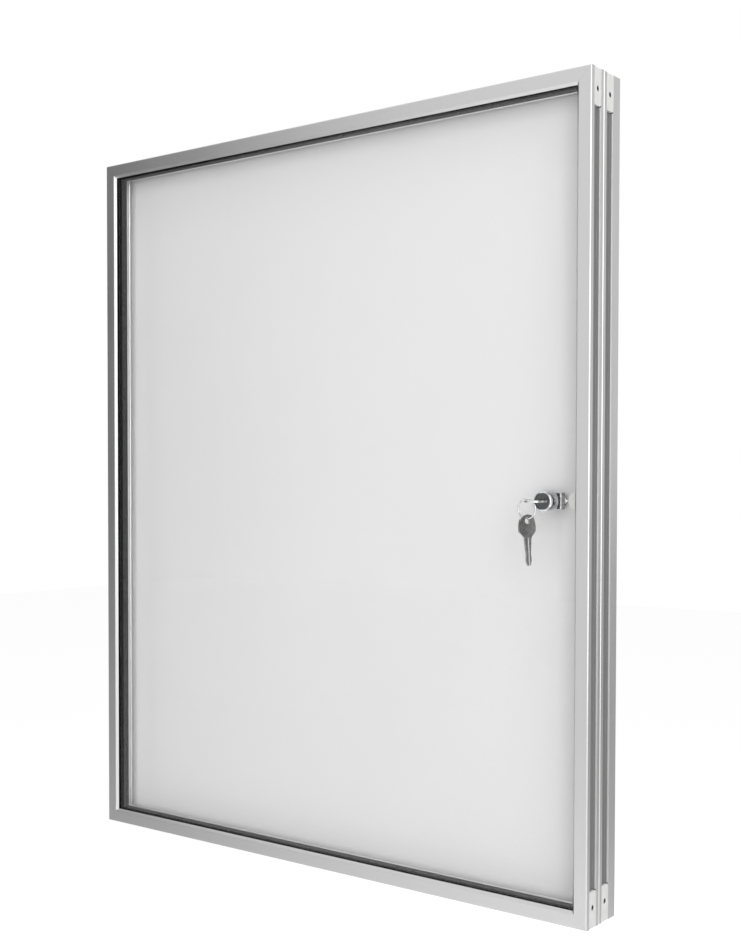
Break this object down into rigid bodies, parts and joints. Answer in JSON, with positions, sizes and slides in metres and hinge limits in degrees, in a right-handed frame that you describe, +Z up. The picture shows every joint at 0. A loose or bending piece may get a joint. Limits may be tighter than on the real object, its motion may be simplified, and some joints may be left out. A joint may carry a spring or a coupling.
{
  "type": "lockable notice board",
  "caption": "Lockable wall notice board: a glazed door in a slim frame, hinged on a shallow case with a white magnetic panel, with a cam lock, its key and a spare key on a ring.",
  "frame": {"origin": "middle of the wall side: halfway across and halfway up the case, in the plane of its rear faces", "axes": "+Y into the wall, so the glazed front looks along -Y; +Z up; +X towards the lock side"},
  "size_m": [0.5555, 0.0768, 0.67],
  "materials": {
    "anodised_aluminium": "satin silver anodised extrusion",
    "moulded_grey_plastic": "fine moulded",
    "screw_steel": "dark zinc",
    "black_rubber": "extruded",
    "clear_pane": "clear",
    "white_enamelled_steel": "white enamel",
    "hardboard": "pressed board",
    "galvanised_steel": "galvanised",
    "zinc_plated_steel": "zinc plated",
    "chrome_plate": "polished",
    "dark_chrome": "turned and plated",
    "white_nylon": "moulded",
    "nickel_plated_key": "nickel plated, worn"
  },
  "bodies": {
    "case": {"case_left_stile": "anodised_aluminium", "case_top_rail": "anodised_aluminium", "case_right_stile": "anodised_aluminium", "case_bottom_rail": "anodised_aluminium", "case_corner_top_left": "moulded_grey_plastic", "case_corner_top_right": "moulded_grey_plastic", "case_corner_bottom_right": "moulded_grey_plastic", "case_corner_bottom_left": "moulded_grey_plastic", "case_screw_top_left_a": "screw_steel", "case_screw_top_left_b": "screw_steel", "case_screw_top_right_a": "screw_steel", "case_screw_top_right_b": "screw_steel", "case_screw_bottom_right_a": "screw_steel", "case_screw_bottom_right_b": "screw_steel", "case_screw_bottom_left_a": "screw_steel", "case_screw_bottom_left_b": "screw_steel", "magnetic_panel": "white_enamelled_steel", "backing_board": "hardboard", "hanger_left": "galvanised_steel", "hanger_right": "galvanised_steel", "hinge_case_leaf_upper": "zinc_plated_steel", "hinge_case_leaf_lower": "zinc_plated_steel", "hinge_pin_upper": "zinc_plated_steel", "hinge_pin_lower": "zinc_plated_steel", "keeper": "white_nylon"},
    "door": {"door_left_stile": "anodised_aluminium", "door_top_rail": "anodised_aluminium", "door_right_stile": "anodised_aluminium", "door_bottom_rail": "anodised_aluminium", "door_corner_top_left": "moulded_grey_plastic", "door_corner_top_right": "moulded_grey_plastic", "door_corner_bottom_right": "moulded_grey_plastic", "door_corner_bottom_left": "moulded_grey_plastic", "door_screw_top_left_a": "screw_steel", "door_screw_top_left_b": "screw_steel", "door_screw_top_right_a": "screw_steel", "door_screw_top_right_b": "screw_steel", "door_screw_bottom_right_a": "screw_steel", "door_screw_bottom_right_b": "screw_steel", "door_screw_bottom_left_a": "screw_steel", "door_screw_bottom_left_b": "screw_steel", "gasket_left": "black_rubber", "gasket_top": "black_rubber", "gasket_right": "black_rubber", "gasket_bottom": "black_rubber", "pane": "clear_pane", "hinge_door_leaf_upper": "zinc_plated_steel", "hinge_door_leaf_lower": "zinc_plated_steel", "lock_housing": "chrome_plate", "lock_sleeve": "black_rubber", "lock_washer": "zinc_plated_steel", "lock_nut": "dark_chrome"},
    "lock_barrel": {"lock_plug": "dark_chrome", "lock_cam": "zinc_plated_steel", "cam_screw": "screw_steel"},
    "key": {"key": "nickel_plated_key"},
    "ring": {"key_ring": "nickel_plated_key"},
    "spare": {"spare_key": "nickel_plated_key"}
  },
  "joints": [
    {"name": "door_hinge", "type": "hinge", "parent": "case", "child": "door", "pos_m": [-0.278, -0.02725, 0], "axis": [0, 0, -1], "range_deg": [0, 120]},
    {"name": "lock_turn", "type": "hinge", "parent": "door", "child": "lock_barrel", "pos_m": [0.2369, -0.04, 0], "axis": [0, -1, 0], "range_deg": [0, 180]},
    {"name": "key_pull", "type": "slide", "parent": "lock_barrel", "child": "key", "axis": [0, -1, 0], "range_m": [0, 0.016]},
    {"name": "key_ring_hang", "type": "hinge", "parent": "key", "child": "ring", "pos_m": [0.2369, -0.0692, 0], "axis": [0, -1, 0], "range_deg": [-100, 0]},
    {"name": "spare_key_hang", "type": "hinge", "parent": "ring", "child": "spare", "pos_m": [0.23214, -0.0692, -0.00567], "axis": [0, -1, 0], "range_deg": [-80, 0]}
  ],
  "couplings": [
    {"joint": "key_ring_hang", "follows": "lock_turn", "ratio": -0.55556},
    {"joint": "spare_key_hang", "follows": "lock_turn", "ratio": -0.44444}
  ]
}
